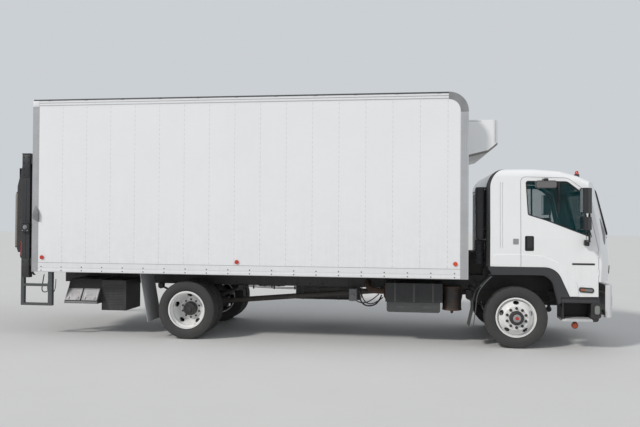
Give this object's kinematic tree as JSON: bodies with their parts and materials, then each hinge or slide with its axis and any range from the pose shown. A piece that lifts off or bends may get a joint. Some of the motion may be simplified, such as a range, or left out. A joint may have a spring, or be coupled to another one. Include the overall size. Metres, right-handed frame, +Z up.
{
  "type": "refrigerated truck",
  "caption": "Two-axle box truck with a tilting cab, insulated box, front cooling unit, twin rear wheels and a folding tail lift.",
  "frame": {"origin": "on the ground, at the middle of the overall length and width", "axes": "+X forwards to the cab, +Y to the truck's left, +Z up"},
  "size_m": [9.56, 2.85, 3.8199],
  "materials": {
    "frame_paint": "satin black chassis paint",
    "castings": "rough cast",
    "white_panel": "glossy white",
    "bare_aluminium": "mill finish",
    "floor_aluminium": "dull",
    "cab_paint": "glossy white",
    "cab_underpaint": "satin dark grey",
    "bumper_paint": "satin light grey",
    "dark_plastic": "grained",
    "trim_plastic": "grained black",
    "cabin_plastic": "grained grey",
    "seat_cloth": "woven",
    "window_glass": "clear",
    "lamp_lens": "clear lens",
    "amber_lens": "lens",
    "red_lens": "lens",
    "wheel_paint": "glossy white",
    "tyre": "matt",
    "tank_metal": "black coated",
    "exhaust_metal": "dark, heat-stained",
    "cooler_skin": "glossy white",
    "guard_plastic": "grained",
    "lift_paint": "satin dark grey",
    "deck_metal": "dark, worn",
    "step_steel": "dark grey",
    "steel": "bare"
  },
  "bodies": {
    "chassis": {"ladder_frame": "frame_paint", "leaf_springs": "frame_paint", "front_axle": "frame_paint", "rear_axle": "frame_paint", "engine_block": "castings", "drive_line": "castings", "fuel_tank": "tank_metal", "exhaust_unit": "exhaust_metal", "power_pack": "lift_paint", "bumper": "bumper_paint", "headlamps": "lamp_lens", "mudguards": "guard_plastic", "box_sides": "white_panel", "box_corner_posts": "bare_aluminium", "box_rails": "bare_aluminium", "box_floor": "floor_aluminium", "box_front_wall": "white_panel", "box_roof": "white_panel", "box_rear_frame": "bare_aluminium", "roll_door": "white_panel", "cooling_unit": "cooler_skin", "marker_lamps": "red_lens", "lift_columns": "lift_paint", "step_frames": "step_steel"},
    "cab": {"cab_shell": "cab_paint", "cab_floor": "cab_underpaint", "windscreen": "window_glass", "front_grille": "trim_plastic", "dashboard": "cabin_plastic", "seats": "seat_cloth", "arch_flares": "dark_plastic", "cab_steps": "dark_plastic", "roof_lamps": "amber_lens"},
    "right_door": {"door_right": "cab_paint", "door_glass_right": "window_glass", "mirrors_right": "trim_plastic"},
    "left_door": {"door_left": "cab_paint", "door_glass_left": "window_glass", "mirrors_left": "trim_plastic"},
    "left_knuckle": {"knuckle_left": "castings"},
    "right_knuckle": {"knuckle_right": "castings"},
    "steering_rod": {"tie_rod": "steel"},
    "right_front_wheel": {"front_wheel_right": "wheel_paint", "front_tyre_right": "tyre"},
    "left_front_wheel": {"front_wheel_left": "wheel_paint", "front_tyre_left": "tyre"},
    "right_rear_wheels": {"rear_wheels_right": "wheel_paint", "rear_tyres_right": "tyre"},
    "left_rear_wheels": {"rear_wheels_left": "wheel_paint", "rear_tyres_left": "tyre"},
    "lift_slider": {"lift_carriage": "lift_paint"},
    "lift_deck": {"lift_platform": "deck_metal"}
  },
  "joints": [
    {"name": "cab_tilt", "type": "hinge", "parent": "chassis", "child": "cab", "pos_m": [4.63, 0, 0.66], "axis": [0, 1, 0], "range_deg": [0, 45]},
    {"name": "right_door_hinge", "type": "hinge", "parent": "cab", "child": "right_door", "pos_m": [4.53, -1.095, 1.25], "axis": [0, 0, 1], "range_deg": [0, 70]},
    {"name": "left_door_hinge", "type": "hinge", "parent": "cab", "child": "left_door", "pos_m": [4.53, 1.095, 1.25], "axis": [0, 0, -1], "range_deg": [0, 70]},
    {"name": "steer_left", "type": "hinge", "parent": "chassis", "child": "left_knuckle", "pos_m": [3.36, 0.8, 0.46], "axis": [0, 0, 1], "range_deg": [-38, 38]},
    {"name": "steer_right", "type": "hinge", "parent": "chassis", "child": "right_knuckle", "pos_m": [3.36, -0.8, 0.46], "axis": [0, 0, 1], "range_deg": [-38, 38]},
    {"name": "tie_rod_pivot", "type": "hinge", "parent": "left_knuckle", "child": "steering_rod", "pos_m": [3.18, 0.8, 0.342], "axis": [0, 0, 1], "range_deg": [-38, 38]},
    {"name": "right_front_spin", "type": "hinge", "parent": "right_knuckle", "child": "right_front_wheel", "pos_m": [3.36, -0.965, 0.46], "axis": [0, 1, 0], "continuous": true},
    {"name": "left_front_spin", "type": "hinge", "parent": "left_knuckle", "child": "left_front_wheel", "pos_m": [3.36, 0.965, 0.46], "axis": [0, 1, 0], "continuous": true},
    {"name": "right_rear_spin", "type": "hinge", "parent": "chassis", "child": "right_rear_wheels", "pos_m": [-1.72, -0.915, 0.46], "axis": [0, 1, 0], "continuous": true},
    {"name": "left_rear_spin", "type": "hinge", "parent": "chassis", "child": "left_rear_wheels", "pos_m": [-1.72, 0.915, 0.46], "axis": [0, 1, 0], "continuous": true},
    {"name": "lift_slide", "type": "slide", "parent": "chassis", "child": "lift_slider", "axis": [0, 0, -1], "range_m": [0, 1.06]},
    {"name": "lift_fold", "type": "hinge", "parent": "lift_slider", "child": "lift_deck", "pos_m": [-4.595, 0, 1.27], "axis": [0, -1, 0], "range_deg": [0, 90]}
  ],
  "couplings": [
    {"joint": "steer_right", "follows": "steer_left", "ratio": 1},
    {"joint": "tie_rod_pivot", "follows": "steer_left", "ratio": -1}
  ]
}
